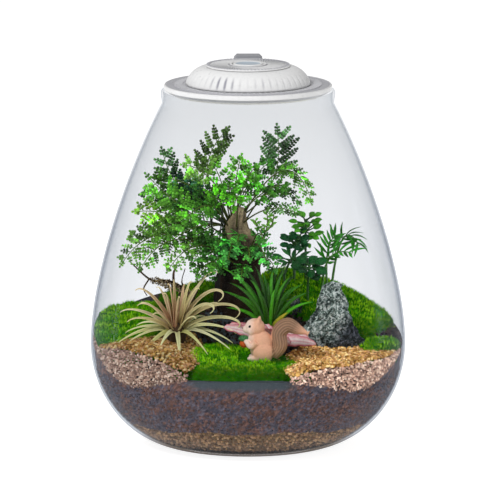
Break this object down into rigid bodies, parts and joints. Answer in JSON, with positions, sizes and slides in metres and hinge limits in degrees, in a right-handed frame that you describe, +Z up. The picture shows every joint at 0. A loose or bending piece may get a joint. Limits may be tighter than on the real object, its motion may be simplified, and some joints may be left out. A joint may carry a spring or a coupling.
{
  "type": "glass plant terrarium",
  "caption": "Teardrop glass terrarium with a round lamp lid over layered gravel and soil, planted with ferns, moss and small plants around driftwood, dark stones and a resin squirrel.",
  "frame": {"origin": "middle of the vessel's flat base, on the surface it stands on", "axes": "+Z up through the lid, -Y the side shown in the picture, +X to the right seen from there"},
  "size_m": [0.19, 0.19, 0.2323],
  "materials": {
    "glass": "clear, polished",
    "lid_white": "smooth white",
    "lid_grey": "satin grey",
    "lamp_board": "matt green board",
    "light_disc": "frosted, translucent white",
    "drainage_gravel": "coarse tan and olive grains",
    "soil": "dark brown crumbs",
    "moss": "bright yellow-green pile",
    "top_gravel": "tan and pinkish grains",
    "stone": "rough, dark blue-grey with pale veins",
    "driftwood": "weathered dark bark",
    "fern": "satin green leaf",
    "bright_fern": "satin bright green leaf",
    "dark_leaf": "glossy dark green leaf",
    "grass": "glossy green leaf",
    "air_plant": "matt olive and pink leaf",
    "earth_star": "matt pink leaf with pale stripes",
    "squirrel_resin": "painted resin, peach with a grey-brown tail",
    "acorn_nut": "painted resin, orange",
    "acorn_cap": "painted resin, green"
  },
  "bodies": {
    "root": {"glass_vessel": "glass", "lid_flange": "lid_white", "lid_dome": "lid_white", "lid_top_plate": "lid_white", "lid_button": "lid_grey", "lid_socket": "lid_grey", "lid_lamp_board": "lamp_board", "lid_diffuser": "light_disc", "drainage_gravel": "drainage_gravel", "soil": "soil", "moss_left": "moss", "moss_hill": "moss", "moss_back": "moss", "moss_right": "moss", "moss_front": "moss", "top_gravel_left": "top_gravel", "top_gravel_right": "top_gravel", "peak_stone": "stone", "low_stone": "stone", "driftwood": "driftwood", "twig": "driftwood", "fern_top_left": "fern", "fern_top_right": "fern", "fern_right_arch": "fern", "fern_right_second": "fern", "fern_right_low": "fern", "fern_left_top": "fern", "fern_left_upper": "fern", "fern_left_mid": "fern", "fern_left_low": "fern", "fern_left_drop": "fern", "fern_low_left": "fern", "fern_low_mid": "fern", "fern_front_left": "fern", "fern_front_right": "fern", "fern_mid_top": "fern", "fern_back_left": "fern", "fern_back_mid": "fern", "fern_back_right": "fern", "fern_apron_left": "bright_fern", "fern_apron_right": "bright_fern", "sprig": "bright_fern", "palm_low": "dark_leaf", "palm_up": "dark_leaf", "palm_arch": "dark_leaf", "umbrella_low": "dark_leaf", "umbrella_dark": "dark_leaf", "umbrella_top": "dark_leaf", "umbrella_broad": "dark_leaf", "grass_tuft": "grass", "air_plant": "air_plant", "earth_star": "earth_star", "squirrel": "squirrel_resin", "acorn_nut": "acorn_nut", "acorn_cap": "acorn_cap"}
  },
  "joints": []
}
